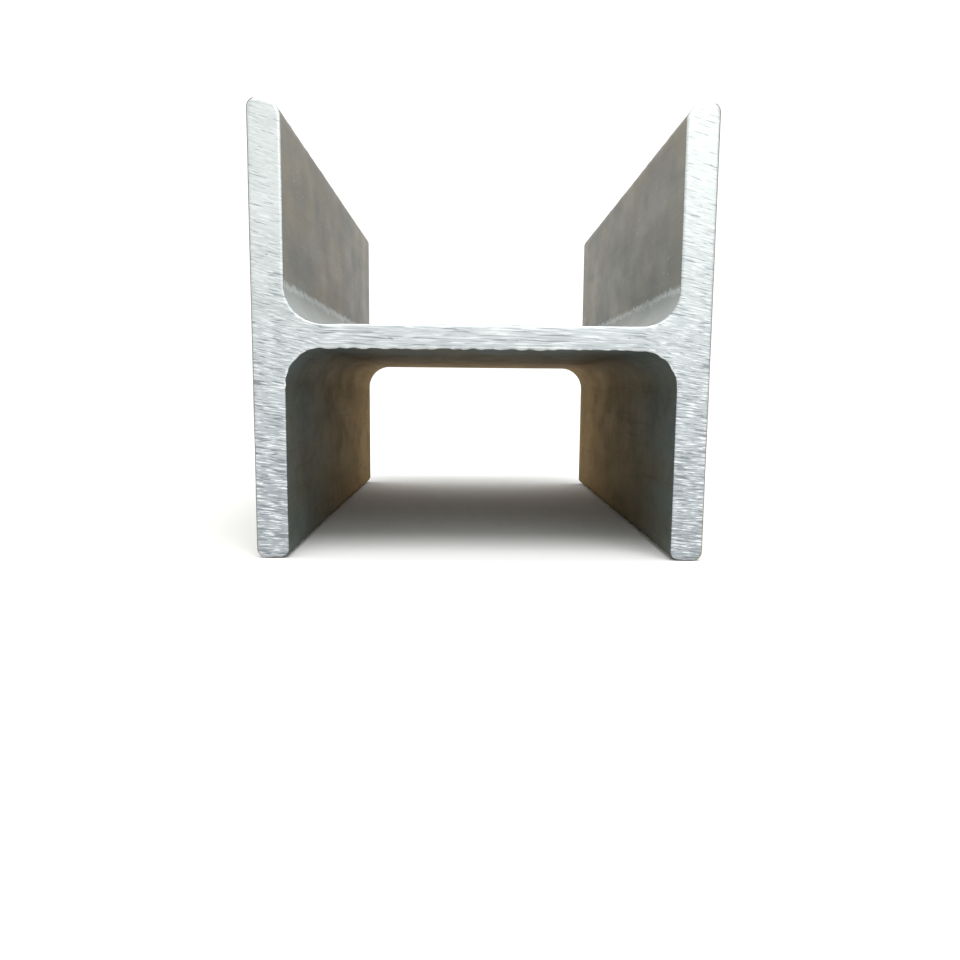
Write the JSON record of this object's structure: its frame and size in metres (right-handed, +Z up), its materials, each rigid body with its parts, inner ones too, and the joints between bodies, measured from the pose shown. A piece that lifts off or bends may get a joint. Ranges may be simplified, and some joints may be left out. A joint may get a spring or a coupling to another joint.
{
  "type": "steel h-beam",
  "caption": "Short cut length of hot-rolled wide-flange steel H-beam, lying on its flange toes, with sawn ends and filleted roots.",
  "frame": {"origin": "middle of the beam's length and depth, on the plane that its lower flange toes rest on", "axes": "+Y along the beam, away from the front sawn end; +X across the section from flange to flange; +Z up, along the flanges"},
  "size_m": [0.1, 0.2, 0.098],
  "materials": {
    "rolled_steel": "hot-rolled mill finish with a thin grey scale, ends sawn bright"
  },
  "bodies": {
    "root": {"h_beam": "rolled_steel"}
  },
  "joints": []
}
